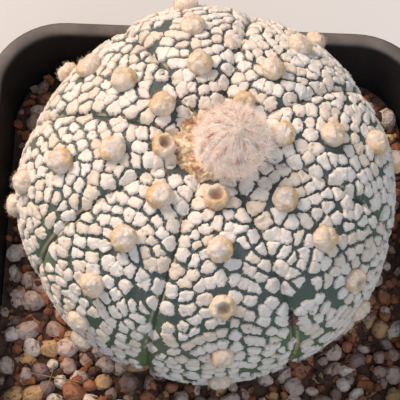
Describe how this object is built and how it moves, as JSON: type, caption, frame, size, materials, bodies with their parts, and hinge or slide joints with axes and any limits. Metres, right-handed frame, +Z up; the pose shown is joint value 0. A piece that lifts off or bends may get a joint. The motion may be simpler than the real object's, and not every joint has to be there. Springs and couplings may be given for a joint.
{
  "type": "potted star cactus",
  "caption": "Flat round spineless star cactus with broad ribs, white felt scales and woolly pads, in a square pot of gravel.",
  "frame": {"origin": "centre of the pot's underside, on the surface that it stands on", "axes": "+Z up; X and Y along the pot's sides; -Y is the front"},
  "size_m": [0.09, 0.09, 0.1282],
  "materials": {
    "pot_plastic": "matte",
    "gravel": "matte",
    "cactus_skin": "matte",
    "crown_wool": "matte",
    "bud_wool": "matte"
  },
  "bodies": {
    "root": {"square_pot": "pot_plastic", "gravel_bed": "gravel", "cactus_body": "cactus_skin", "crown_wool": "crown_wool", "flower_bud": "bud_wool"}
  },
  "joints": []
}
